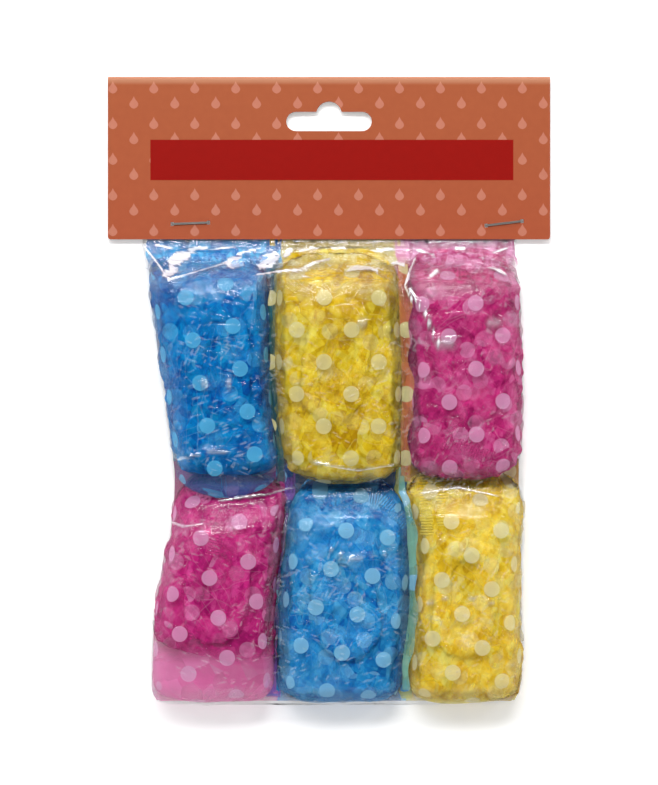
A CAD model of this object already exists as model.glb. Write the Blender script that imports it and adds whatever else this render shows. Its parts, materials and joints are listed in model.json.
# %% [markdown]
# # A hanging retail pack of six dotted shower caps
#
# The pack is a soft thing in three layers. Six crumpled caps of dotted film lie in six pouches of the same
# film, the pouches lie in one clear bag, and a folded card closes the bag with two staples. In this lesson
# the card and the staples keep their CAD shapes and get real finishes. Everything made of film is modelled
# again, because film shows folds, gloss and what lies under it, which a CAD solid can't.
#
# All lengths are in metres. X runs across the pack, Y up to the fold of the card, and Z up from the table.

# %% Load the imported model
import json
import math

import bmesh
import bpy
import numpy as np
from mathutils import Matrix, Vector
from mathutils.bvhtree import BVHTree

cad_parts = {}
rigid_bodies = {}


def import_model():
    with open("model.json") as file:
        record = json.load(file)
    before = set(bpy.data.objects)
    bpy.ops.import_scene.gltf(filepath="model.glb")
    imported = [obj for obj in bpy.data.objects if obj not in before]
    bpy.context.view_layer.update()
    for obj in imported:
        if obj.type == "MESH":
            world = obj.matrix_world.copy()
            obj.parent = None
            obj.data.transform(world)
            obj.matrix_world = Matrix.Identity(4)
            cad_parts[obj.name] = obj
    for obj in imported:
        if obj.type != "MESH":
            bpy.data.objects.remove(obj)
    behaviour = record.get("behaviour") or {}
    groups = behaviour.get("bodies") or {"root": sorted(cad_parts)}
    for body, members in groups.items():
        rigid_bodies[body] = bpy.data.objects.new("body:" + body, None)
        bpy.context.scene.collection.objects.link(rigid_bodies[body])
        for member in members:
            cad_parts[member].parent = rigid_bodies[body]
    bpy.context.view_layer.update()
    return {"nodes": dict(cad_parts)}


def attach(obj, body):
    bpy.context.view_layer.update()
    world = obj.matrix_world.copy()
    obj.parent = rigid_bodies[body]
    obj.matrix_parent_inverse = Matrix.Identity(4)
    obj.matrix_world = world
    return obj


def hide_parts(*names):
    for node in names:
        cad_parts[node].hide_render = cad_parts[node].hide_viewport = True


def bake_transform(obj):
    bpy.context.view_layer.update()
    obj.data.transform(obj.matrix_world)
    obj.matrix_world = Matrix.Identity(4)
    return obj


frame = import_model()
mm = 0.001

# %% [markdown]
# ## Camera, floor and light
#
# The pack was photographed from straight above with a long lens, lying on white. The camera stands 1.6 m
# over the table, so the card and the bag keep nearly the same scale. A softbox beyond the card's fold gives
# the glare on the folds of the film and the soft shadow under the lower edge. The ceiling over the camera is
# dark, so flat film doesn't mirror it and keeps its deep colour, and a wide panel overhead, which no gloss
# sees, lights all colours evenly.

# %% Camera
scene = bpy.context.scene
scene.view_settings.view_transform = "Standard"

photo_height = 274.75 * mm
camera_height = 1.6
camera_data = bpy.data.cameras.new("camera")
camera_data.sensor_width = 36
camera_data.lens = camera_data.sensor_width * camera_height / photo_height
camera_data.clip_start = 0.05
camera = bpy.data.objects.new("camera", camera_data)
camera.location = (0, -0.875 * mm, 5 * mm + camera_height)
scene.collection.objects.link(camera)
scene.camera = camera
print("lens", round(camera_data.lens, 1), "mm")

# %% Colours and nodes
def colour(code, alpha=1.0):
    """An sRGB hex code as the linear colour that Blender works with"""
    shares = [int(code[i:i + 2], 16) / 255 for i in (1, 3, 5)]
    return [s / 12.92 if s <= 0.04045 else ((s + 0.055) / 1.055) ** 2.4 for s in shares] + [alpha]


def add(tree, kind, inputs=(), **settings):
    """A node with its settings and its inputs, linked or set. A node as an input means its output in use."""
    node = tree.nodes.new("ShaderNode" + kind)
    for key, setting in settings.items():
        setattr(node, key, setting)
    for key, given in inputs.items() if isinstance(inputs, dict) else enumerate(inputs):
        if isinstance(given, bpy.types.Node):
            given = next(socket for socket in given.outputs if socket.enabled)
        if isinstance(given, bpy.types.NodeSocket):
            tree.links.new(given, node.inputs[key])
        else:
            node.inputs[key].default_value = given
    return node


def calc(tree, operation, *inputs):
    """A Math node"""
    return add(tree, "Math", inputs, operation=operation)


def mix(tree, share, first, second, **settings):
    """A Mix node between two colours"""
    return add(tree, "Mix", {0: share, 6: first, 7: second}, data_type="RGBA", **settings)


def new_material(name):
    """A material with an empty node tree, and that tree"""
    material = bpy.data.materials.new(name)
    material.use_nodes = True
    material.node_tree.nodes.clear()
    return material, material.node_tree


def surface(tree, inputs):
    """Ends a tree in a principled surface"""
    add(tree, "OutputMaterial", {"Surface": add(tree, "BsdfPrincipled", inputs)})


print("mid grey #808080 is", round(colour("#808080")[0], 3), "in linear light")


# %% Floor and world
def lit_white(tree, shader, strength):
    """A shader, with some white added where the camera, gloss or glass looks at it"""
    ray = add(tree, "LightPath").outputs
    seen = calc(tree, "MAXIMUM", ray["Is Camera Ray"], ray["Is Glossy Ray"])
    seen = calc(tree, "MAXIMUM", seen, ray["Is Transmission Ray"])
    amount = calc(tree, "MULTIPLY", seen, strength)
    glow = add(tree, "Emission", {"Color": colour("#FFFFFF"), "Strength": amount})
    return add(tree, "AddShader", [shader, glow])


floor_size, paper_glow = 6, 0.28
bpy.ops.mesh.primitive_plane_add(size=floor_size, location=(0, 0, 0))
floor = bpy.context.object
floor.name = "floor"
floor_paint, tree = new_material("white_paper_floor")
paper = add(tree, "BsdfDiffuse", {"Color": colour("#FEFEFE")})
add(tree, "OutputMaterial", {"Surface": lit_white(tree, paper, paper_glow)})
floor.data.materials.append(floor_paint)

world = bpy.data.worlds.new("studio")
world.use_nodes = True
world.node_tree.nodes.clear()
tree = world.node_tree
ray = add(tree, "TexCoord").outputs["Generated"]
height = add(tree, "SeparateXYZ", [ray]).outputs[2]
wall = {"From Min": 0.12, "To Min": 1.1}
ceiling = {"From Max": 0.75, "To Max": 0.07}
light = add(tree, "MapRange", {"Value": height, **wall, **ceiling}, interpolation_type="SMOOTHSTEP")
sky = add(tree, "Background", {"Color": colour("#FFFFFF"), "Strength": light})
add(tree, "OutputWorld", {"Surface": sky})
scene.world = world
print("floor:", floor_size, "m wide, world:", world.name)


# %% Lamps
def softbox(name, place, size, power):
    """An area lamp that faces the middle of the pack"""
    lamp_data = bpy.data.lights.new(name, "AREA")
    lamp_data.shape = "RECTANGLE"
    lamp_data.size, lamp_data.size_y = size
    lamp_data.energy = power
    lamp = bpy.data.objects.new(name, lamp_data)
    lamp.location = place
    lamp.rotation_euler = (-Vector(place)).to_track_quat("-Z", "Y").to_euler()
    scene.collection.objects.link(lamp)
    return lamp


softbox("key_softbox", place=(-0.1, 0.6, 1.0), size=(0.7, 0.2), power=8.6)
softbox("low_softbox", place=(0.1, 0.9, 0.35), size=(0.8, 0.12), power=1.3)
for side in (-1, 1):
    name = "left_softbox" if side < 0 else "right_softbox"
    softbox(name, place=(0.75 * side, 0.5, 0.95), size=(0.2, 0.2), power=1.4)
overhead = softbox("overhead_panel", place=(0, -0.1, 1.3), size=(1.2, 1.2), power=2.7)
overhead.visible_glossy = False

# %% [markdown]
# ## Printed card
#
# The header is coated board, offset printed and varnished: warm terracotta with rows of pale drops, and one
# red band that stays free of lettering. The pattern is worked out in millimetres from Object coordinates, so
# it lies on the CAD node as it is. The cut edges, where no ink is, show the pale core of the board.

# %% Patterns in millimetres
def place_in_mm(tree):
    """Object coordinates in millimetres"""
    where = add(tree, "TexCoord").outputs["Object"]
    return add(tree, "VectorMath", {0: where, "Scale": 1 / mm}, operation="SCALE")


def edge(tree, signed, soft=0.12):
    """1 where a distance in millimetres is below 0, with a soft edge"""
    ends = {"From Min": soft, "From Max": -soft}
    return add(tree, "MapRange", {"Value": signed, **ends}, interpolation_type="SMOOTHSTEP")


def drops(tree, place, start):
    """Rows of drops, 14.35 mm apart across and 12.5 mm along, from a first one"""
    half_pitch = (14.35 / 2, 12.5 / 2, 500.0)
    moved = add(tree, "VectorMath", [place, (*start, 0)], operation="SUBTRACT")
    near = add(tree, "VectorMath", [moved, half_pitch, [-half for half in half_pitch]], operation="WRAP")
    x, y, _ = add(tree, "SeparateXYZ", [near]).outputs
    half_height, half_width = 2.3, 1.68
    along = add(tree, "MapRange", {"Value": y, "From Min": -half_height, "From Max": half_height})
    outline = add(tree, "FloatCurve", {"Value": along})
    curve = outline.mapping.curves[0]
    curve.points[0].location = (0, 0)
    curve.points[1].location = (1, 0)
    for share, width in ((0.04, 0.42), (0.14, 0.78), (0.32, 1), (0.48, 0.86), (0.7, 0.42)):
        curve.points.new(share, width)
    outline.mapping.update()
    below_tip = -0.13
    width = calc(tree, "MULTIPLY_ADD", outline, half_width, below_tip)
    away = calc(tree, "ABSOLUTE", x)
    return edge(tree, calc(tree, "SUBTRACT", away, width))


# %% Facets
def facets(tree, place, size, seed):
    """Cells with straight borders: random values, the distance to a border, and a slope of their own"""
    moved = add(tree, "VectorMath", [place, (seed * 13.7, seed * 7.1, seed * 3.3)], operation="ADD")
    cells = add(tree, "TexVoronoi", {"Vector": moved, "Scale": 1.0 / size}, feature="F1").outputs
    borders = add(tree, "TexVoronoi", {"Vector": moved, "Scale": 1.0 / size}, feature="DISTANCE_TO_EDGE")
    chance = add(tree, "SeparateColor", [cells["Color"]]).outputs
    distance = calc(tree, "MULTIPLY", borders, size)
    inside = add(tree, "VectorMath", [moved, cells["Position"]], operation="SUBTRACT")
    tilt = add(tree, "VectorMath", [cells["Color"], (0.5, 0.5, 0.5)], operation="SUBTRACT")
    slope = add(tree, "VectorMath", [inside, tilt], operation="DOT_PRODUCT")
    return chance, distance, slope


def streaks(tree, place, turn, seed):
    """Long narrow cells, as the small pleats and scratches of crushed film"""
    turned = add(tree, "VectorRotate", {"Vector": place, "Angle": turn}, rotation_type="Z_AXIS")
    narrow = add(tree, "VectorMath", [turned, (0.8, 0.22, 0.3)], operation="MULTIPLY")
    return facets(tree, narrow, 1.0, seed)


print("a streak is about", round(1 / 0.8, 2), "by", round(1 / 0.22, 1), "mm")


# %% Board
card_paint, tree = new_material("varnished_printed_board")
place = place_in_mm(tree)
x, y, _ = add(tree, "SeparateXYZ", [place]).outputs
normal = add(tree, "SeparateXYZ", [add(tree, "TexCoord").outputs["Normal"]]).outputs[2]
card_low, card_fold = 52.0, 108.0
shade = add(tree, "MapRange", {"Value": y, "From Min": card_low, "From Max": card_fold})
ink = mix(tree, shade, colour("#AC5638"), colour("#AA5B39"))

first_row = drops(tree, place, (-61.4, 106.2))
second_row = drops(tree, place, (-68.4, 100.9))
both_rows = calc(tree, "MAXIMUM", first_row, second_row)
ink = mix(tree, both_rows, ink, colour("#C27B65"))

band_middle, band_half = (1.0, 80.6), (63.6, 7.1)
beside = []
for axis, middle, half in zip((x, y), band_middle, band_half):
    away = calc(tree, "SUBTRACT", axis, middle)
    away = calc(tree, "ABSOLUTE", away)
    beside.append(calc(tree, "SUBTRACT", away, half))
band = edge(tree, calc(tree, "MAXIMUM", *beside))
front = calc(tree, "GREATER_THAN", normal, 0.5)
band = calc(tree, "MULTIPLY", band, front)
ink = mix(tree, band, ink, colour("#960800"))

grain = add(tree, "TexNoise", {"Vector": place, "Scale": 0.35, "Detail": 4.0})
cloud = mix(tree, grain, colour("#6E3320"), colour("#FFE3D2"))
ink = mix(tree, 0.12, ink, cloud, blend_type="SOFT_LIGHT")

below_fold = calc(tree, "SUBTRACT", card_fold - 0.4, y)
worn = calc(tree, "MULTIPLY", edge(tree, below_fold, 0.9), 0.35)
ink = mix(tree, worn, ink, colour("#E2B08E"))

upright = calc(tree, "ABSOLUTE", normal)
cut = calc(tree, "LESS_THAN", upright, 0.35)
off_fold = calc(tree, "LESS_THAN", y, card_fold + 0.2)
cut = calc(tree, "MULTIPLY", cut, off_fold)
ink = mix(tree, cut, ink, colour("#E9DFD3"))

fibres = add(tree, "TexNoise", {"Vector": place, "Scale": 3.0, "Detail": 5.0})
relief = add(tree, "Bump", {"Height": fibres, "Strength": 0.05, "Distance": 0.3 * mm})
surface(tree, {
    "Base Color": ink,
    "Roughness": 0.4,
    "Specular IOR Level": 0.1,
    "Coat Weight": 0.04,
    "Coat Roughness": 0.2,
    "Normal": relief,
})


def finish_node(name, material):
    """Gives a CAD node a new finish"""
    node = frame["nodes"][name]
    node.data.materials.clear()
    node.data.materials.append(material)


finish_node("header_card", card_paint)
print("card:", len(tree.nodes), "nodes in its finish")

# %% [markdown]
# ## Staples
#
# The staples are drawn steel wire with a zinc coat, 0.5 mm thick. Drawing leaves fine scratches along the wire,
# so the noise of the finish is stretched along X, the way that the crowns run, and the gloss breaks up on it.

# %% Staples
wire_finish, tree = new_material("zinc_plated_steel_wire")
along_wire = add(tree, "VectorMath", [place_in_mm(tree), (0.6, 9.0, 9.0)], operation="MULTIPLY")
drawn = add(tree, "TexNoise", {"Vector": along_wire, "Scale": 1.0, "Detail": 3.0})
wire_colour = mix(tree, drawn, colour("#8D8A86"), colour("#C9C6C2"))
relief = add(tree, "Bump", {"Height": drawn, "Strength": 0.2, "Distance": 0.05 * mm})
surface(tree, {
    "Base Color": wire_colour,
    "Metallic": 1.0,
    "Roughness": 0.32,
    "Normal": relief,
})
for name in ("staple_left", "staple_right"):
    finish_node(name, wire_finish)
print("staples finished:", wire_finish.name)


# %% [markdown]
# ## Working with the sacks
#
# The CAD model draws every sack as a wall with an outside and an inside. A thin film needs only one face, so
# each sack is copied, its rim is taken away, and the inner shell is deleted. The outer one turns into quads
# and is subdivided, which gives enough faces to push folds into.

# %% Copy a sack's outside
def only(piece):
    """Selects a piece alone and makes it the active one"""
    if bpy.context.object and bpy.context.object.mode != "OBJECT":
        bpy.ops.object.mode_set(mode="OBJECT")
    bpy.ops.object.select_all(action="DESELECT")
    piece.select_set(True)
    bpy.context.view_layer.objects.active = piece


def apply(piece, kind, **settings):
    """Adds a modifier with its settings and applies it"""
    step = piece.modifiers.new(kind.lower(), kind)
    for key, setting in settings.items():
        setattr(step, key, setting)
    bpy.ops.object.modifier_apply(modifier=step.name)


def welded_copy(node, name):
    """A copy of a CAD node's mesh, with its loose triangles joined"""
    piece = bpy.data.objects.new(name, frame["nodes"][node].data.copy())
    scene.collection.objects.link(piece)
    piece.data.materials.clear()
    only(piece)
    bpy.ops.object.mode_set(mode="EDIT")
    bpy.ops.mesh.select_all(action="SELECT")
    bpy.ops.mesh.remove_doubles(threshold=0.002 * mm)
    bpy.ops.mesh.normals_make_consistent(inside=False)
    bpy.ops.object.mode_set(mode="OBJECT")
    return piece


def outside_of(node, name, levels):
    """The outer shell of a sack as one smooth sheet of quads, open at its mouth"""
    piece = welded_copy(node, name)
    mesh = piece.data
    top = max(v.co.y for v in mesh.vertices)
    only(piece)
    bpy.ops.object.mode_set(mode="EDIT")
    bpy.ops.mesh.select_all(action="DESELECT")
    work = bmesh.from_edit_mesh(mesh)
    rim = [f for f in work.faces if min(v.co.y for v in f.verts) > top - 0.02 * mm]
    bmesh.ops.delete(work, geom=rim, context="FACES")
    work.verts.ensure_lookup_table()
    max(work.verts, key=lambda v: v.co.x).select = True
    bmesh.update_edit_mesh(mesh)
    bpy.ops.mesh.select_linked()
    bpy.ops.mesh.select_all(action="INVERT")
    bpy.ops.mesh.delete(type="VERT")
    bpy.ops.mesh.select_all(action="SELECT")
    bpy.ops.mesh.tris_convert_to_quads(face_threshold=math.radians(70), shape_threshold=math.radians(80))
    bpy.ops.object.mode_set(mode="OBJECT")
    apply(piece, "SUBSURF", subdivision_type="SIMPLE", levels=1)
    apply(piece, "SUBSURF", subdivision_type="CATMULL_CLARK", levels=levels - 1)
    free = piece.vertex_groups.new(name="free")
    free.add([v.index for v in piece.data.vertices if v.co.y < top - 1 * mm], 1.0, "REPLACE")
    apply(piece, "SMOOTH", iterations=8, vertex_group="free")
    bpy.ops.object.shade_smooth()
    print(name, len(piece.data.polygons), "faces")
    return piece


# %% Folds
def points_of(piece):
    """A mesh's corners and their normals"""
    count = len(piece.data.vertices)
    points = np.zeros(3 * count)
    normals = np.zeros(3 * count)
    piece.data.vertices.foreach_get("co", points)
    piece.data.vertices.foreach_get("normal", normals)
    return points.reshape(-1, 3), normals.reshape(-1, 3)


def put_points(piece, points):
    """Moves a mesh's corners"""
    piece.data.vertices.foreach_set("co", points.astype(np.float32).ravel())
    piece.data.update()


def folds(points, seed, size, count=5):
    """Heights from -1 to 1 of film that was crushed: flat facets between straight creases"""
    chance = np.random.default_rng(seed)
    height = np.zeros(len(points))
    bend = np.sin(points @ chance.normal(0, 1, (3, 3)) * (2.2 / size)) * 0.16
    for _ in range(count):
        across = chance.normal(0, 1, 3)
        across /= np.linalg.norm(across)
        wave = points @ across / (size * chance.uniform(0.7, 1.6)) + chance.uniform(0, 1)
        wave = wave + bend @ chance.normal(0, 1, 3)
        height += np.abs(2 * (wave - np.floor(wave)) - 1) * 2 - 1
    return height / count * 1.8


def smoothstep(low, high, t):
    """0 below a range, 1 above it, and a soft rise between"""
    t = np.clip((t - low) / (high - low), 0, 1)
    return t * t * (3 - 2 * t)


def ridge(points, line, width):
    """1 on a line that is seen from above, given in millimetres, and falling off beside it"""
    rise = np.zeros(len(points))
    for start, end in zip(line[:-1], line[1:]):
        a, b = np.array(start) * mm, np.array(end) * mm
        share = np.clip((points[:, :2] - a) @ (b - a) / ((b - a) @ (b - a)), 0, 1)
        gap = np.linalg.norm(points[:, :2] - a - share[:, None] * (b - a), axis=1)
        rise = np.maximum(rise, np.exp(-(gap / width) ** 2))
    return rise


print("folds over three places:", np.round(folds(np.eye(3) * 10 * mm, 1, 10 * mm), 2))


# %% [markdown]
# ## Clear bag
#
# The bag is thin clear polypropylene. Each face of such a sheet reflects about 4 in 100 of the light and the
# rest goes through. A white mirror with a cover of 2 in 100 acts nearly as the taut film over the packets does,
# and where the neck lies in several folds, up to 12 in 100. Along sharp creases and in the patches of glare the
# film is milky: it covers nearly all, scatters more than it mirrors, and glows a little, because a soft light
# alone can't make so thin a film that white. Small glints lie in clusters between them. The film runs on
# between the panels of the card and bends with them.

# %% Clear film
clear_film, tree = new_material("clear_polypropylene_film")
place = place_in_mm(tree)
y = add(tree, "SeparateXYZ", [place]).outputs[1]
long_wrinkles = add(tree, "VectorMath", [place, (0.35, 1.0, 1.0)], operation="MULTIPLY")
creases = add(tree, "TexNoise", {"Vector": long_wrinkles, "Scale": 0.16, "Detail": 5.0, "Distortion": 1.5})
fine = add(tree, "TexNoise", {"Vector": long_wrinkles, "Scale": 0.55, "Detail": 3.0, "Distortion": 0.8})
creases = calc(tree, "MULTIPLY_ADD", fine, 0.3, creases)
slack = add(tree, "MapRange", {"Value": y, "From Min": 28.0, "From Max": 44.0, "To Min": 0.3, "To Max": 0.8})
relief = add(tree, "Bump", {"Height": creases, "Strength": slack, "Distance": 2 * mm})

taut_cover, neck_cover, mouth_cover = 0.02, 0.12, 0.05
more = {"From Min": 33.0, "From Max": 43.0, "To Min": taut_cover, "To Max": neck_cover}
fewer = {"From Min": 46.0, "From Max": 50.0, "To Min": neck_cover, "To Max": mouth_cover}
layers = [add(tree, "MapRange", {"Value": y, **change}) for change in (more, fewer)]
layers = calc(tree, "MINIMUM", *layers)
milky = add(tree, "Attribute", attribute_name="crease").outputs["Fac"]
milky_cover = calc(tree, "MULTIPLY", milky, 0.95)
cover = calc(tree, "MAXIMUM", layers, milky_cover)

finer = add(tree, "VectorMath", {0: place, "Scale": 2.2}, operation="SCALE")
patch, _, _ = facets(tree, long_wrinkles, 9.0, 4)
glints = 0.0
for i, turn in enumerate((1.2, 1.95, 0.5)):
    chance, _, _ = streaks(tree, finer, turn, 21)
    thin = calc(tree, "GREATER_THAN", chance[0], 0.94)
    here = calc(tree, "GREATER_THAN", patch[i], 0.66)
    thin = calc(tree, "MULTIPLY", thin, here)
    glints = calc(tree, "MAXIMUM", thin, glints)
glint_cover = calc(tree, "MULTIPLY", glints, 0.07)
cover = calc(tree, "MAXIMUM", cover, glint_cover)
mirror = calc(tree, "MULTIPLY_ADD", milky, -0.5, 1.0)
unscratched = calc(tree, "SUBTRACT", 1.0, glints)
mirror = calc(tree, "MULTIPLY", mirror, unscratched)
surface(tree, {
    "Base Color": colour("#F8FAFF"),
    "Metallic": mirror,
    "Roughness": calc(tree, "MULTIPLY_ADD", milky, 0.28, 0.12),
    "Alpha": cover,
    "Emission Color": colour("#F4F7FF"),
    "Emission Strength": calc(tree, "MULTIPLY", milky, 0.25),
    "Normal": relief,
})
print("clear film:", len(tree.nodes), "nodes")

# %% Bag and its neck
bag = outside_of("bag_body", "clear_bag", 3)
neck_y = max(v.co.y for v in bag.data.vertices)
only(bag)
bpy.ops.object.mode_set(mode="EDIT")
bpy.ops.mesh.select_all(action="DESELECT")
work = bmesh.from_edit_mesh(bag.data)
for line in work.edges:
    line.select = line.is_boundary and min(v.co.y for v in line.verts) > neck_y - 0.1 * mm
bmesh.update_edit_mesh(bag.data)
for step in (0.6, 0.6, 0.6, 0.7):
    bpy.ops.mesh.extrude_region_move(TRANSFORM_OT_translate={"value": (0, step * mm, 0)})
bpy.ops.object.mode_set(mode="OBJECT")
print("bag:", len(bag.data.polygons), "faces, neck at", round(neck_y / mm, 2), "mm")

# %% Wrinkles of the bag
# Creases, as points (x, y) in millimetres
fold_lines = [
    [(-65.1, 50.7), (-55.3, 37.5), (-34.7, 44.8), (-20, 47.5)],
    [(-25, 39.9), (-10, 42), (0.4, 46.2)],
    [(30.5, 46.2), (26.6, 36), (29, 31.5)],
    [(28.4, 35), (33, 27), (37.8, 16.5)],
    [(-14.4, 23.8), (0.4, 25.2), (23.1, 21)],
    [(-10.2, 14), (17.9, 15.8)],
    [(38.9, 21), (61.6, 23.8)],
    [(35.4, 15.8), (59.9, 18.2)],
    [(-46, 3), (-38, 1), (-30, 4)],
    [(-52, -24), (-40, -21.5), (-30, -22.5)],
    [(-37.5, -38.5), (-22.4, -36.2), (-12.6, -33.8)],
    [(-5, -25), (10, -27.5), (22, -26)],
    [(-58, -45), (-50, -47.5), (-44, -46.5)],
    [(32, -36), (45, -34), (58, -37)],
    [(0, -55), (8, -58.5), (20, -57)],
    [(34, -74), (44, -71), (60, -74.5)],
]
# Patches of glare: x, y, half length and half width in millimetres, and the turn in degrees
glare = [
    (-52.2, 46.0, 6.8, 2.4, 26), (-55.4, 41.0, 3.6, 1.4, 34), (-46.0, 49.6, 5.0, 0.7, 5),
    (-32.6, 44.8, 3.4, 2.2, 10), (-21.0, 45.3, 4.6, 2.6, 25), (-14.5, 47.6, 2.4, 1.5, 60),
    (-6.0, 41.0, 4.0, 0.8, 15), (9.4, 43.2, 10.5, 1.7, -4), (5.0, 46.8, 3.0, 0.8, 20),
    (24.0, 44.5, 3.2, 1.0, -30), (47.6, 46.2, 11.0, 0.9, -3), (58.0, 42.0, 4.0, 0.7, -25),
    (36.0, 40.5, 3.0, 0.7, 35), (-58.0, 50.2, 4.0, 0.5, -12), (-38.0, 49.6, 5.0, 0.5, 8),
    (-28.0, 48.6, 4.0, 0.5, 15), (-8.0, 49.4, 3.5, 0.5, 12), (5.0, 49.7, 4.0, 0.4, -5),
    (17.0, 49.0, 6.0, 0.6, 6), (33.0, 48.6, 4.0, 0.5, -15), (44.0, 49.6, 5.0, 0.5, 5),
    (60.0, 48.8, 3.0, 0.5, 20), (-42.0, 42.3, 4.0, 0.5, 24), (18.0, 46.0, 5.0, 0.7, 12),
]
points, normals = points_of(bag)
neck_fade = 1 - smoothstep(49.5 * mm, 50.9 * mm, points[:, 1])
neck = smoothstep(30 * mm, 46 * mm, points[:, 1]) * neck_fade
lift = smoothstep(0, 6 * mm, points[:, 2])
stretched = points * np.array([0.5, 1.3, 1.0])
neck_folds = folds(stretched, 5, 14 * mm) * neck * 1.6 * mm
height = neck_folds + folds(stretched, 6, 24 * mm, 4) * 0.35 * mm * lift
upward = normals[:, 2] > 0.1
milky = np.zeros(len(points))
ragged = folds(points, 8, 5 * mm) * 0.45 + folds(points, 9, 2.2 * mm) * 0.3
sharp_lines = 4
for i, line in enumerate(fold_lines):
    height += ridge(points, line, (0.9 - 0.03 * i) * mm) * upward * 0.75 * mm
    strength = 0.95 if i < sharp_lines else 0.5
    near_line = ridge(points, line, 0.5 * mm) + 0.3 * ragged - 0.1
    milky = np.maximum(milky, strength * smoothstep(0.3, 0.75, near_line))
for x, y, length, width, turn in glare:
    c, s = math.cos(math.radians(turn)), math.sin(math.radians(turn))
    away = points[:, :2] / mm - (x, y)
    inside = 1 - ((away @ (c, s)) / length) ** 2 - ((away @ (-s, c)) / width) ** 2 + ragged
    milky = np.maximum(milky, smoothstep(0.0, 0.4, inside) * 0.9)
height *= lift * (points[:, 1] < neck_y - 0.05 * mm)
put_points(bag, points + normals * height[:, None])
crease = bag.data.attributes.new("crease", "FLOAT", "POINT")
crease.data.foreach_set("value", (milky * upward).astype(np.float32))
bag.data.materials.append(clear_film)
mouth = welded_copy("bag_mouth", "clear_bag_mouth")
mouth.data.materials.append(clear_film)
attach(mouth, "header")
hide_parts("bag_mouth")
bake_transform(bag)
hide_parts("bag_body")
print("bag:", len(fold_lines), "creases and", len(glare), "patches of glare")


# %% [markdown]
# ## Room under the bag
#
# Film lies on film here, so each new piece has to know how high the next one is. Rays from above or below find
# the film over a place. What would come through the bag is pressed down under it, as packing it does.

# %% Room under the bag
def upper_film(piece, way=1):
    """Looks down on a piece, or up at it for -1: gives the height that is met over a place, or None"""
    corners = [v.co.copy() for v in piece.data.vertices]
    faces = BVHTree.FromPolygons(corners, [tuple(f.vertices) for f in piece.data.polygons])
    eye_height = 50 * mm

    def height_over(x, y):
        hit = faces.ray_cast(Vector((x, y, eye_height * way)), Vector((0, 0, -way)))[0]
        return hit.z if hit else None
    return height_over


over_bag = upper_film(bag)
under_bag = upper_film(bag, -1)


def bag_height(x, y):
    """How high the bag's upper film lies over a place"""
    height, beside_bag = over_bag(x, y), 6 * mm
    return beside_bag if height is None else height


def keep_under_bag(piece, gap):
    """Presses a piece down where it would come through the bag's upper film"""
    points, _ = points_of(piece)
    lowest = 0.6 * mm
    for point in points:
        point[2] = min(point[2], max(bag_height(point[0], point[1]) - gap, lowest))
    put_points(piece, points)


print("bag's upper film over the origin:", round(bag_height(0, 0) / mm, 2), "mm")

# %% [markdown]
# ## Films
#
# The caps and pouches are cut from polyethylene film, tinted in the mass and printed with white discs of
# 5.6 mm. Each disc is a little see-through. One film lets light through and shows what is under it, and many
# crumpled layers together are a deep, full colour with flat facets, straight creases and pieces of discs.
# Where the end of an upper pouch lies over a lower packet, the two tints mix, so that end has a colour of its
# own. Each packet's discs lie on a lattice: a first disc and two steps, in millimetres.

# %% Discs
disc_radius = 2.8


def discs(tree, place, start, along, across):
    """Printed discs on a lattice: its first disc and two steps, in millimetres"""
    moved = add(tree, "VectorMath", [place, (*start, 0)], operation="SUBTRACT")
    area = along[0] * across[1] - along[1] * across[0]
    rows = ((across[1] / area, -across[0] / area, 0), (-along[1] / area, along[0] / area, 0))
    offsets = []
    for row in rows:
        step = add(tree, "VectorMath", [moved, row], operation="DOT_PRODUCT")
        nearest = calc(tree, "ROUND", step)
        offsets.append(calc(tree, "SUBTRACT", step, nearest))
    parts = []
    for i in (0, 1):
        first = calc(tree, "MULTIPLY", offsets[0], along[i])
        parts.append(calc(tree, "MULTIPLY_ADD", offsets[1], across[i], first))
    away = add(tree, "VectorMath", [add(tree, "CombineXYZ", parts)], operation="LENGTH")
    return edge(tree, calc(tree, "SUBTRACT", away, disc_radius), 0.15)


print("discs of", 2 * disc_radius, "mm")

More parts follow.
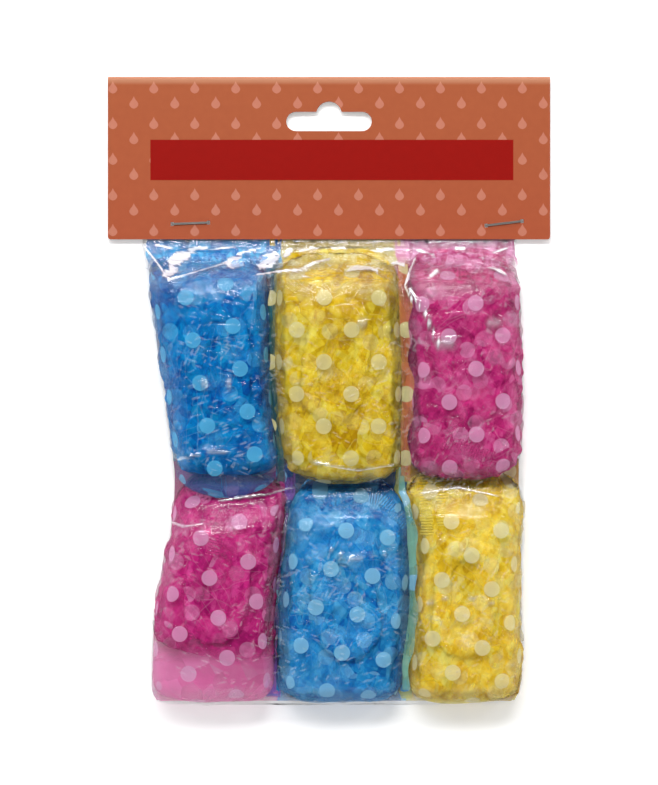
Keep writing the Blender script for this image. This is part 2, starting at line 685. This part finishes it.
# %% Tints
film_parts = ("deep", "middle", "light", "film", "disc", "glint")
tints_of = {
    "blue": "#004698 #0076C0 #1096D6 #0076C8 #5CBEEE #B8E8FF",
    "light_blue": "#0858AC #1C8ACE #54B2E6 #2490D2 #90D2F4 #D0F0FF",
    "yellow": "#B08400 #DEBC18 #F6E45C #E0C430 #E4DCA0 #FFF8D0",
    "light_yellow": "#C89A04 #EECA2C #FAEC74 #ECD23C #EEE6B0 #FFFBDC",
    "pink": "#960A58 #C42C78 #DC629E #C63880 #E8A4CE #FFDCEE",
    "light_pink": "#9C0660 #C4247C #DA4E98 #D64492 #EAA6D2 #FFDCF2",
}
films = {name: dict(zip(film_parts, tints.split())) for name, tints in tints_of.items()}
packets = {
    "top_left": dict(
        seed=1, film="blue", end_film="#7C62BC", end_cover=0.45, core=(-29.0, 49.2), tail=(-27.0, -40.0),
        start=(-30.8, 7.35), along=(2.52, -14.8), across=(13.83, 4.9)),
    "top_middle": dict(
        seed=2, film="yellow", end_film="#8EA880", end_cover=0.45, core=(-31.0, 49.2), tail=(-28.0, -40.0),
        start=(7.7, -1.4), along=(9.45, -11.13), across=(9.56, 11.13)),
    "top_right": dict(
        seed=3, film="pink", end_film="#D88054", end_cover=0.45, core=(-30.0, 49.2), tail=(-27.0, -40.0),
        start=(41.65, -4.2), along=(9.45, -11.2), across=(9.28, 11.55)),
    "bottom_left": dict(
        seed=4, film="light_pink", end_film="#F490C8", end_cover=0.55, core=(-94.0, -29.0),
        tail=(-88.0, -95.0), start=(-28.0, -59.5), along=(3.05, -13.83), across=(13.4, 5.6), slant=0.28),
    "bottom_middle": dict(
        seed=5, film="light_blue", end_film="#54B2E6", end_cover=0.55, core=(-108.2, -29.5),
        tail=(-106.0, -109.0), start=(0.7, -61.95), along=(-5.25, -13.3), across=(14.35, -2.45)),
    "bottom_right": dict(
        seed=6, film="light_yellow", end_film="#FAEC74", end_cover=0.55, core=(-108.2, -28.0),
        tail=(-106.0, -109.0), start=(42.35, -45.5), along=(7.0, -11.73), across=(10.26, 8.58)),
}
print("films:", sorted(films), "packets:", len(packets))


# %% Crumpled film
def turned_lattice(packet, turn, shift):
    """The packet's disc lattice as it lies on a deeper layer: turned and moved"""
    c, s = math.cos(turn), math.sin(turn)
    start = [a + b for a, b in zip(packet["start"], shift)]
    steps = [(x * c - y * s, x * s + y * c) for x, y in (packet["along"], packet["across"])]
    return start, *steps


def crumpled_film(packet, layer):
    """Many layers of crushed film. Layer 0 is the solid inside, and layer 1 the loose facets over it."""
    tints = films[packet["film"]]
    seed = packet["seed"] + 10 * layer
    material, tree = new_material(f"crumpled_{packet['film']}_film_{seed}")
    place = place_in_mm(tree)
    stretched = add(tree, "VectorMath", [place, (1.0, 0.75, 0.5)], operation="MULTIPLY")
    big, _, big_slope = facets(tree, stretched, 7.5, seed)
    small, _, small_slope = facets(tree, stretched, 2.9, seed + 3)
    first, _, first_slope = streaks(tree, place, 0.5, seed + 5)
    second, _, second_slope = streaks(tree, place, -0.9, seed + 7)
    tone = calc(tree, "MULTIPLY", big[0], 0.26)
    for chance, share in ((small[1], 0.34), (first[0], 0.21), (second[0], 0.19)):
        tone = calc(tree, "MULTIPLY_ADD", chance, share, tone)
    tint = add(tree, "ValToRGB", [tone])
    dark, pale = tint.color_ramp.elements
    dark.position, dark.color = 0.22, colour(tints["deep"])
    pale.position, pale.color = 0.8, colour(tints["light"])
    tint.color_ramp.elements.new(0.48).color = colour(tints["middle"])

    shown = 0.0
    for turn, shift, clip in ((0.6, (5.1, 3.3), 0), (-0.8, (-4.0, 6.0), 1)):
        turn, shift = turn + 1.3 * layer, (shift[0] + 3 * layer, shift[1])
        spots = discs(tree, place, *turned_lattice(packet, turn, shift))
        kept = calc(tree, "GREATER_THAN", big[1 + clip], 0.25 + 0.1 * clip)
        spots = calc(tree, "MULTIPLY", spots, kept)
        cover = calc(tree, "MULTIPLY", spots, 0.44 - 0.14 * clip)
        tint = mix(tree, cover, tint, colour(tints["disc"]))
        shown = calc(tree, "MAXIMUM", spots, shown)
    coarse = add(tree, "VectorMath", [place, (0.32, 0.32, 0.32)], operation="MULTIPLY")
    for turn in (0.9, -0.35):
        strip, line, _ = streaks(tree, coarse, turn + 0.4 * packet["seed"], seed + 11)
        thin = edge(tree, calc(tree, "SUBTRACT", line, 0.03), 0.045)
        few = calc(tree, "GREATER_THAN", strip[1], 0.8)
        thin = calc(tree, "MULTIPLY", thin, few)
        thin = calc(tree, "MULTIPLY", thin, 0.16)
        tint = mix(tree, thin, tint, colour(tints["glint"]))

    height = calc(tree, "MULTIPLY", small_slope, 0.75)
    for slope, share in ((big_slope, 0.3), (first_slope, 0.35), (second_slope, 0.35)):
        height = calc(tree, "MULTIPLY_ADD", slope, share, height)
    inputs = {
        "Base Color": tint,
        "Roughness": 0.28,
        "Specular IOR Level": 0.07 * layer,
        "Normal": add(tree, "Bump", {"Height": height, "Strength": 0.6, "Distance": 1 * mm}),
    }
    if layer:
        flap = calc(tree, "GREATER_THAN", big[1], 0.5)
        flap = calc(tree, "MULTIPLY", flap, 0.36)
        pieces = calc(tree, "MULTIPLY", shown, 0.3)
        inputs["Alpha"] = calc(tree, "MAXIMUM", flap, pieces)
    surface(tree, inputs)
    return material


print("crumpled film: facets of 7.5 and 2.9 mm in", film_parts[:3], "tones")


# %% Smooth dotted film of a pouch
def pouch_film(packet, name, thin, thick, film_code=None):
    """One layer of tinted film with whole discs, which follow the film down its sides"""
    tints = films[packet["film"]]
    material, tree = new_material(f"{name}_{packet['film']}_film_{packet['seed']}")
    on_film = add(tree, "UVMap", uv_map="film_mm")
    place = place_in_mm(tree)
    y = add(tree, "SeparateXYZ", [place]).outputs[1]
    spots = discs(tree, on_film, packet["start"], packet["along"], packet["across"])
    flat = add(tree, "MapRange", {"Value": y, "From Min": packet["tail"][0], "From Max": packet["tail"][1]})
    stretched = add(tree, "VectorMath", [place, (1.0, 0.8, 0.5)], operation="MULTIPLY")
    chance, _, slope = facets(tree, stretched, 6.0, packet["seed"] + 40)
    pale = calc(tree, "MULTIPLY_ADD", chance[0], 0.7, 0.3)
    pale = calc(tree, "MULTIPLY", flat, pale)
    base, end = colour(film_code or tints["film"]), colour(packet["end_film"])
    tint = mix(tree, pale, base, end)
    tint = mix(tree, spots, tint, colour(tints["disc"]))

    haze = add(tree, "TexNoise", {"Vector": place, "Scale": 0.09, "Detail": 3.0})
    cover = {"From Min": 0.35, "From Max": 0.7, "To Min": thin, "To Max": thick}
    cover = add(tree, "MapRange", {"Value": haze, **cover})
    cover = add(tree, "Mix", {0: flat, 2: cover, 3: packet["end_cover"]})
    uneven = calc(tree, "MULTIPLY_ADD", chance[1], 0.5, 0.75)
    cover = calc(tree, "MULTIPLY", cover, uneven)
    printed = calc(tree, "MULTIPLY", spots, 0.56)
    cover = calc(tree, "MAXIMUM", cover, printed)

    wrinkles = add(tree, "TexNoise", {"Vector": place, "Scale": 0.3, "Detail": 4.0, "Distortion": 1.2})
    wrinkles = calc(tree, "MULTIPLY_ADD", slope, 0.25, wrinkles)
    surface(tree, {
        "Base Color": tint,
        "Roughness": 0.24,
        "Specular IOR Level": 0.02,
        "Alpha": cover,
        "Normal": add(tree, "Bump", {"Height": wrinkles, "Strength": 0.3, "Distance": 1 * mm}),
    })
    return material


print("tints of the long ends:", [packet["end_film"] for packet in packets.values()])


# %% [markdown]
# ## Pouches
#
# Each pouch is one smooth film over the crumpled cap, and its discs stay whole and round. They are printed on
# the film, so they must follow it down the sides. A UV map in millimetres does that: across the back it is
# the place itself, and down a side or an end it grows with the way that the film goes down.

# %% Film map
flat_back = 2.5 * mm


def wrap_map(piece):
    """A UV map in millimetres that runs over the back of a sack and down its sides and ends"""
    points, normals = points_of(piece)
    rows = np.linspace(points[:, 1].min() + 2 * mm, points[:, 1].max() - 2 * mm, 24)
    near = [points[np.abs(points[:, 1] - row) < 3 * mm] for row in rows]
    crest = np.interp(points[:, 1], rows, [p[:, 2].max() for p in near])
    left = np.interp(points[:, 1], rows, [p[:, 0].min() for p in near])
    right = np.interp(points[:, 1], rows, [p[:, 0].max() for p in near])
    centre, half = (left + right) / 2, (right - left) / 2
    side = np.sign(points[:, 0] - centre)
    out = np.abs(points[:, 0] - centre)
    fall = np.maximum(crest - points[:, 2] - flat_back, 0)
    under = normals[:, 2] < -0.5
    sideways = np.abs(normals[:, 0]) / np.maximum(np.abs(normals[:, 0]) + np.abs(normals[:, 1]), 0.001)
    sideways = np.where(under, 1, smoothstep(0.3, 0.7, sideways))
    u = centre + side * np.where(under, 2 * half - out + fall, out + fall * sideways)
    v = points[:, 1] + np.sign(normals[:, 1]) * fall * (1 - sideways)
    layer = piece.data.uv_layers.new(name="film_mm")
    corners = np.zeros(len(piece.data.loops), int)
    piece.data.loops.foreach_get("vertex_index", corners)
    uv = np.stack([u[corners], v[corners]], 1) / mm
    layer.data.foreach_set("uv", uv.astype(np.float32).ravel())


print("the map runs down with the film from", round(flat_back / mm, 1), "mm under its crest")


# %% Pouches
def sides_of(piece, step):
    """Rows across a piece, and its left and right edges there"""
    points, _ = points_of(piece)
    rows = np.arange(points[:, 1].min() + step, points[:, 1].max() - step, step)
    near = [points[np.abs(points[:, 1] - row) < 1.2 * step][:, 0] for row in rows]
    return rows, np.array([x.min() for x in near]), np.array([x.max() for x in near])


over_pouch = {}
under_pouch = {}
pouch_sides = {}
for place_name, packet in packets.items():
    pouch = outside_of(f"pouch_{place_name}", f"dotted_pouch_{place_name}", 3)
    points, normals = points_of(pouch)
    height = folds(points, packet["seed"] + 70, 26 * mm, 3)
    lift = smoothstep(points[:, 2].min(), points[:, 2].min() + 5 * mm, points[:, 2])
    put_points(pouch, points + normals * (height * lift * 0.35 * mm)[:, None])
    keep_under_bag(pouch, 0.2 * mm)
    wrap_map(pouch)
    over_pouch[place_name] = upper_film(pouch)
    under_pouch[place_name] = upper_film(pouch, -1)
    pouch_sides[place_name] = sides_of(pouch, 1.5 * mm)
    pouch.data.materials.append(pouch_film(packet, "dotted", 0.04, 0.14))
    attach(pouch, "filled_bag")
    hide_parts(f"pouch_{place_name}")
print("pouches:", len(pouch_sides))


# %% [markdown]
# ## Caps
#
# A folded cap is a bundle of some twenty layers. No single sheet of it can be followed, so its CAD bundle is
# remeshed finely into one skin, and the skin is pushed into facets between straight creases. A second, looser
# skin lies over it. It is see-through and stands for the outer flaps, so the folds have depth when the pack
# is turned. Both are fitted to the outline of their pouch, as packing presses them into it.

# %% Caps
def cover_elastic(piece, node, room):
    """Lifts a cap's skin where it would lie under its elastic, which makes the ridge of the hem"""
    over_elastic = upper_film(frame["nodes"][node])
    points, normals = points_of(piece)
    near = [(x * 1.2 * mm, y * 1.2 * mm) for x in (-1, 0, 1) for y in (-1, 0, 1)]
    lifted = 0
    for point, normal in zip(points, normals):
        if normal[2] > 0.1:
            heights = [over_elastic(point[0] + x, point[1] + y) for x, y in near]
            highest = max((h for h in heights if h is not None), default=0)
            if highest + room > point[2] and highest:
                point[2] = highest + room
                lifted += 1
    put_points(piece, points)
    print(piece.name, "lifted", lifted, "highest", round(points[:, 2].max() / mm, 2), "mm")


def keep_in_pouch(piece, place_name):
    """Presses a cap down under its own pouch's film, and a lower cap under the ends of the upper pouches"""
    points, _ = points_of(piece)
    upper_ends_y, film_gap, lowest = -42 * mm, 0.3 * mm, 1.3 * mm
    above = [film for name, film in under_pouch.items() if "top" in name and "bottom" in place_name]
    for point in points:
        own = over_pouch[place_name](point[0], point[1])
        limits = [own] if own else []
        if point[1] > upper_ends_y:
            limits += [h for h in (film(point[0], point[1]) for film in above) if h]
        if limits:
            point[2] = min(point[2], max(min(limits) - film_gap, lowest))
    put_points(piece, points)


def crushed(place_name, name, packet, grain, reach, size, seed, swell=0.0):
    """A folded cap as one skin: the CAD bundle remeshed finely, then pushed into flat facets"""
    node = f"cap_{place_name}"
    piece = welded_copy(node, name)
    points, _ = points_of(piece)
    low, high = points.min(0), points.max(0)
    if "bottom" in node:
        # The CAD bundle thins out under the upper packets, so its end is filled up again
        thin_end, ramp = 1.4 * mm, 20 * mm
        rise = smoothstep(0, ramp, high[1] + 1.5 * mm - points[:, 1])
        full = high[2] * 0.6 / (thin_end + (high[2] - thin_end) * rise)
        points[:, 2] *= np.clip(full, 1, 5)
    start, end = (y * mm for y in packet["core"])
    points[:, 1] = start + (points[:, 1] - low[1]) * (end - start) / (high[1] - low[1])
    put_points(piece, points)
    apply(piece, "REMESH", mode="VOXEL", voxel_size=grain)
    apply(piece, "SMOOTH", iterations=6)
    points, _ = points_of(piece)
    rows, left, right = sides_of(piece, 1.5 * mm)
    share = (points[:, 0] - np.interp(points[:, 1], rows, left)) / np.interp(points[:, 1], rows, right - left)
    share = np.clip(share, 0, 1)
    middle = points[:, 0].mean()
    near_end = smoothstep(40 * mm, 0, points[:, 1] - start)
    points[:, 1] -= packet.get("slant", 0) * (points[:, 0] - middle) * near_end
    rows, left, right = pouch_sides[place_name]
    left, right = left + 0.5 * mm, right - 0.5 * mm
    points[:, 0] = np.interp(points[:, 1], rows, left) + share * np.interp(points[:, 1], rows, right - left)
    put_points(piece, points)
    points, normals = points_of(piece)
    height = folds(points, seed, size) + 0.5 * folds(points, seed + 50, size * 0.45)
    low = points[:, 2].min()
    lift = smoothstep(low, low + 4 * mm, points[:, 2])[:, None]
    put_points(piece, points + normals * (height[:, None] * reach * lift + swell))
    keep_under_bag(piece, 1.3 * mm - swell)
    keep_in_pouch(piece, place_name)
    cover_elastic(piece, node.replace("cap", "elastic"), 0.5 * mm + 0.5 * swell)
    bpy.ops.object.shade_smooth()
    return piece


core_grain, core_reach, core_facet, core_swell = 0.85 * mm, 0.6 * mm, 7.5 * mm, 0.3 * mm
loose_grain, loose_reach, loose_facet, loose_swell = 1.1 * mm, 0.5 * mm, 12 * mm, 0.9 * mm
for place_name, packet in packets.items():
    node, seed = f"cap_{place_name}", packet["seed"]
    core = crushed(place_name, f"crushed_cap_{place_name}", packet, core_grain, core_reach, core_facet, seed,
                   core_swell)
    loose = crushed(place_name, f"loose_folds_{place_name}", packet, loose_grain, loose_reach, loose_facet,
                    seed + 20, loose_swell)
    core.data.materials.append(crumpled_film(packet, 0))
    loose.data.materials.append(crumpled_film(packet, 1))
    loose.visible_shadow = False
    for piece in (core, loose):
        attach(piece, "filled_bag")
        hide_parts(node)
    print(core.name, len(core.data.polygons), loose.name, len(loose.data.polygons))

# %% [markdown]
# ## Elastics
#
# The rings in the hems are plain natural rubber, extruded and dusted, so they are matt and a little yellow.
# They lie inside the caps, and only a taken-apart pack shows them, so the CAD nodes serve with a finish of
# their own.

# %% Elastics
rubber, tree = new_material("natural_rubber_elastic")
grain = add(tree, "TexNoise", {"Vector": place_in_mm(tree), "Scale": 2.0, "Detail": 4.0})
surface(tree, {
    "Base Color": mix(tree, grain, colour("#C8BCA4"), colour("#E6DECB")),
    "Roughness": 0.6,
    "IOR": 1.52,
    "Normal": add(tree, "Bump", {"Height": grain, "Strength": 0.3, "Distance": 0.1 * mm}),
})
for place_name in packets:
    finish_node(f"elastic_{place_name}", rubber)
print("elastics finished:", len(packets))


# %% [markdown]
# ## Welded margins and flat ends
#
# A pouch is welded flat along its sides and ends. Its margins lie between the packets, and the long ends fold
# under the next packet. They are what colours the gaps. Each is a grid that follows the bag's upper film, a
# little below it, or its lower film. No sheet casts a shadow of its own, as so thin a film hardly does.

# %% Loose sheets
def sheet_of(name, place_name, columns, rows, position, material, blended=False):
    """A grid whose points come from a function of their shares across and along, mapped in millimetres"""
    bpy.ops.mesh.primitive_grid_add(x_subdivisions=columns, y_subdivisions=rows, size=1)
    sheet = bpy.context.object
    sheet.name = name
    own, _ = points_of(sheet)
    points = np.array([position(across, along) for across, along in own[:, :2] + 0.5])
    put_points(sheet, points)
    map_layer = sheet.data.uv_layers[0]
    map_layer.name = "film_mm"
    corners = np.zeros(len(sheet.data.loops), int)
    sheet.data.loops.foreach_get("vertex_index", corners)
    map_layer.data.foreach_set("uv", (points[corners, :2] / mm).astype(np.float32).ravel())
    bpy.ops.object.shade_smooth()
    sheet.visible_shadow = False
    sheet.data.materials.append(material)
    if blended:
        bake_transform(sheet)
    else:
        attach(sheet, "filled_bag")
    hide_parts(f"pouch_{place_name}")
    return sheet


# %% Pouch margins
def margin(place_name, side, reach, under, thin, thick, film_code):
    """The flat margin along a pouch's side, under the bag's upper film or, for no gap, on its lower one"""
    packet = packets[place_name]
    edge_name = "left" if side < 0 else "right"
    points, _ = points_of(bpy.data.objects[f"dotted_pouch_{place_name}"])
    lower = "bottom" in place_name
    low = points[:, 1].min() + (1.5 if under is None else 5 if lower else 1) * mm
    high = points[:, 1].max() + (1.5 if lower else -4) * mm
    rows = np.linspace(low + 9 * mm, high - 9 * mm, 30)
    sides = [points[np.abs(points[:, 1] - row) < 2.5 * mm][:, 0] for row in rows]
    side_line = [x.min() if side < 0 else x.max() for x in sides]
    tuck, over_lower_film = 1.2 * mm, 1.7 * mm

    def position(across, along):
        y = low + (high - low) * along
        waves = 0.35 * math.sin(y * 190 + packet["seed"]) + 0.25 * math.sin(y * 470)
        width = tuck + reach * (1 + waves)
        x = np.interp(y, rows, side_line) - side * tuck + side * width * across
        if under is None:
            return x, y, (under_bag(x, y) or 0) + over_lower_film
        return x, y, bag_height(x, y) - under - 0.4 * mm * math.sin(y * 420) * across

    material = pouch_film(packet, f"welded_{edge_name}", thin, thick, film_code)
    return sheet_of(f"pouch_margin_{place_name}_{edge_name}", place_name, 8, 60, position, material)


left, right, upper_gap = -1, 1, 0.5 * mm
margin("top_middle", left, 1.0 * mm, upper_gap, 0.35, 0.6, "#2F6468")
margin("top_middle", right, 2.2 * mm, upper_gap, 0.45, 0.75, "#CC7C4C")
margin("bottom_middle", right, 1.6 * mm, upper_gap, 0.45, 0.75, "#7CB8A8")
for place_name, side, film_code in (
        ("top_left", right, "#12386C"), ("top_right", left, "#A42C4C"),
        ("bottom_middle", left, "#9468C8"), ("bottom_right", left, "#B0BC6C")):
    margin(place_name, side, 4.5 * mm, None, 1.0, 1.0, film_code)
print("margins placed")


# %% Flat ends
bag_rows, bag_left, bag_right = sides_of(bag, 1.5 * mm)


def flat_end(place_name, number, left, right, low, high, cover, film_code):
    """A pouch's flat welded end, which lies on the bag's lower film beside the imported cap"""
    material = pouch_film(packets[place_name], f"welded_end_{number}", cover, cover, film_code)
    weld = 0.9 * mm

    def position(across, along):
        y = (low + (high - low) * along) * mm
        start = max(left * mm, np.interp(y, bag_rows, bag_left) + weld)
        end = min(right * mm, np.interp(y, bag_rows, bag_right) - weld)
        x = start + (end - start) * across
        ripple = 0.3 * math.sin(x * 700 + number) * math.sin(y * 500)
        return x, y, (under_bag(x, y) or 0) + (1.6 + ripple) * mm

    return sheet_of(f"pouch_end_{place_name}_{number}", place_name, 50, 16, position, material)


flat_end("bottom_left", 1, -62.0, -14.5, -46.0, -24.0, 1.0, "#B83080")
flat_end("bottom_middle", 2, -15.5, 27.5, -46.0, -24.0, 1.0, "#155A9C")
flat_end("bottom_right", 3, 26.5, 66.5, -46.0, -24.0, 1.0, "#C49420")
flat_end("bottom_left", 4, -62.0, -18.0, -108.8, -78.0, 0.7, "#FC94CC")
flat_end("bottom_middle", 5, -18.5, 28.5, -108.8, -94.0, 0.9, "#2C90D0")
flat_end("bottom_right", 6, 27.0, 68.0, -108.8, -94.0, 0.9, "#ECC838")
print("flat ends placed")


# %% [markdown]
# ## Gathered necks
#
# The mouths of the three upper pouches run up under the card with the bag's neck. There the film lies in
# small pleats, in two layers or more, so it covers well. Each neck is a grid that follows the underside of the
# clear film and slips between the panels of the card.

# %% Pleated film
shade_start, shade_end = 48.5, 52.0


def pleated_film(packet):
    """Film in small upright pleats, a little darker where the card shades it"""
    tints = films[packet["film"]]
    material, tree = new_material(f"pleated_{packet['film']}_film_{packet['seed']}")
    place = place_in_mm(tree)
    y = add(tree, "SeparateXYZ", [place]).outputs[1]
    coarse = add(tree, "VectorMath", [place, (0.5, 0.4, 0.5)], operation="MULTIPLY")
    wide, _, wide_slope = streaks(tree, coarse, 0.25, 3)
    fine, _, fine_slope = streaks(tree, place, -0.15, 8)
    tone = calc(tree, "MULTIPLY", fine[1], 0.45)
    tone = calc(tree, "MULTIPLY_ADD", wide[0], 0.55, tone)
    tone = add(tree, "MapRange", {"Value": tone, "From Min": 0.25, "From Max": 0.75})
    tint = mix(tree, tone, colour(tints["film"]), colour(tints["disc"]))
    shade = add(tree, "MapRange", {"Value": y, "From Min": shade_start, "From Max": shade_end, "To Max": 0.55})
    tint = mix(tree, shade, tint, colour(tints["deep"]))
    height = calc(tree, "MULTIPLY_ADD", fine_slope, 0.6, wide_slope)
    cover = add(tree, "MapRange", {"Value": y, "From Min": 41.0, "From Max": 47.0, "To Max": 0.9})
    uneven = calc(tree, "MULTIPLY_ADD", tone, 0.3, 0.75)
    surface(tree, {
        "Base Color": tint,
        "Roughness": 0.22,
        "Specular IOR Level": 0.12,
        "Alpha": calc(tree, "MULTIPLY", cover, uneven),
        "Normal": add(tree, "Bump", {"Height": height, "Strength": 0.7, "Distance": 1 * mm}),
    })
    return material


print("the card's shade falls between y", shade_start, "and", shade_end, "mm")


# %% Necks
def neck_sheet(place_name, left, right, under=0.0):
    """The pleated neck of an upper pouch between two edges, in millimetres"""
    packet = packets[place_name]

    def position(across, along):
        y = (41.0 + 12.4 * along) * mm
        sway = 0.5 * math.sin(y * 500 + left) + 0.15 * math.sin(y * 1300)
        x = (left + (right - left) * across + sway) * mm
        pleat = float(folds(np.array([[x * 2.4, y * 0.4, 0.0]]), packet["seed"] + 90, 8 * mm, 4)[0])
        z = min(bag_height(x, min(y, neck_y - 0.3 * mm)) - (0.9 + under - 0.45 * pleat) * mm, 21 * mm)
        if y > neck_y - 0.8 * mm:
            z = (1.8 + 0.15 * pleat) * mm
        return x, y, max(z, 0.8 * mm)

    name = f"gathered_neck_{place_name}"
    return sheet_of(name, place_name, 110, 26, position, pleated_film(packet), blended=True)


neck_sheet("top_left", -63.8, -16.5)
neck_sheet("top_middle", -20.5, 27.5, 1.2)
neck_sheet("top_right", 23.5, 65.5)
print("necks placed")


# %% [markdown]
# ## Gathered hems
#
# The hem of each cap is gathered on its elastic into even ribs of about a millimetre. Stretches of it lie
# right under the pouch. A hem is a narrow strip that follows the pouch's film, with the ribs pressed into it.

# %% Ribbed film
rib_turn = 6.6


def ribbed_film(packet):
    """Film gathered into ribs across the strip, by its own map: millimetres along and across"""
    tints = films[packet["film"]]
    material, tree = new_material(f"gathered_{packet['film']}_hem_{packet['seed']}")
    along = add(tree, "SeparateXYZ", [add(tree, "UVMap", uv_map="strip_mm")]).outputs[0]
    shake = add(tree, "TexNoise", {"Vector": place_in_mm(tree), "Scale": 0.6, "Detail": 3.0})
    turn = calc(tree, "MULTIPLY", shake, 5.0)
    turn = calc(tree, "MULTIPLY_ADD", along, rib_turn, turn)
    ribs = calc(tree, "SINE", turn)
    ribs = calc(tree, "MULTIPLY_ADD", ribs, 0.5, 0.5)
    lit = calc(tree, "MULTIPLY", ribs, 0.7)
    tint = mix(tree, lit, colour(tints["middle"]), colour(tints["light"]))
    lit = calc(tree, "MULTIPLY", shake, 0.7)
    tint = mix(tree, lit, tint, colour(tints["light"]))
    surface(tree, {
        "Base Color": tint,
        "Roughness": 0.26,
        "Specular IOR Level": 0.35,
        "Alpha": calc(tree, "MULTIPLY_ADD", shake, 0.6, 0.2),
        "Normal": add(tree, "Bump", {"Height": ribs, "Strength": 0.8, "Distance": 0.4 * mm}),
    })
    return material


print("ribs are", round(2 * math.pi / rib_turn, 2), "mm apart")


# %% Hems
def hem(place_name, number, line, width):
    """A gathered hem along a line that is seen from above, in millimetres"""
    packet = packets[place_name]
    stops = np.array(line, float)
    steps = np.linalg.norm(np.diff(stops, axis=0), axis=1)
    lengths = np.concatenate([[0], np.cumsum(steps)])
    total = lengths[-1]
    columns, rows = 8, int(total * 7)
    under_pouch_film, rib_height = 0.35 * mm, 0.16 * mm

    def on_line(t):
        return np.array([np.interp(t, lengths, stops[:, 0]), np.interp(t, lengths, stops[:, 1])])

    def position(across, along):
        t = along * total
        ahead = on_line(t + 0.5) - on_line(t - 0.5)
        ahead /= np.linalg.norm(ahead)
        out = (across - 0.5) * width * (1 + 0.12 * math.sin(t * 1.3))
        x, y = (on_line(t) + out * np.array([-ahead[1], ahead[0]])) * mm
        z = over_pouch[place_name](x, y)
        z = bag_height(x, y) - 0.6 * mm if z is None else z
        return x, y, z - under_pouch_film + rib_height * math.sin(t * rib_turn)

    name = f"gathered_hem_{place_name}_{number}"
    strip = sheet_of(name, place_name, columns, rows, position, ribbed_film(packet))
    own = strip.data.uv_layers.new(name="strip_mm")
    for loop in strip.data.loops:
        row, column = divmod(loop.vertex_index, columns + 1)
        own.data[loop.index].uv = (row / rows * total, column / columns * width)
    return strip


hem("bottom_right", 1, [(33.4, -28.9), (34.0, -50.4)], 4.2)
hem("bottom_right", 2, [(38.6, -28.9), (39.2, -47.0)], 3.6)
hem("bottom_left", 1, [(-35.2, -38.0), (-40.6, -57.4)], 4.6)
hem("top_left", 1, [(-23.6, 42.0), (-23.9, 20.6)], 2.8)
hem("top_middle", 1, [(-13.6, 34.5), (-8.0, 42.0), (-2.5, 46.2)], 4.6)
hem("top_right", 1, [(39.6, -17.4), (56.4, -24.0)], 4.8)
hem("bottom_middle", 1, [(9.8, -36.0), (18.0, -37.5), (27.6, -47.0)], 5.0)
print("hems placed")
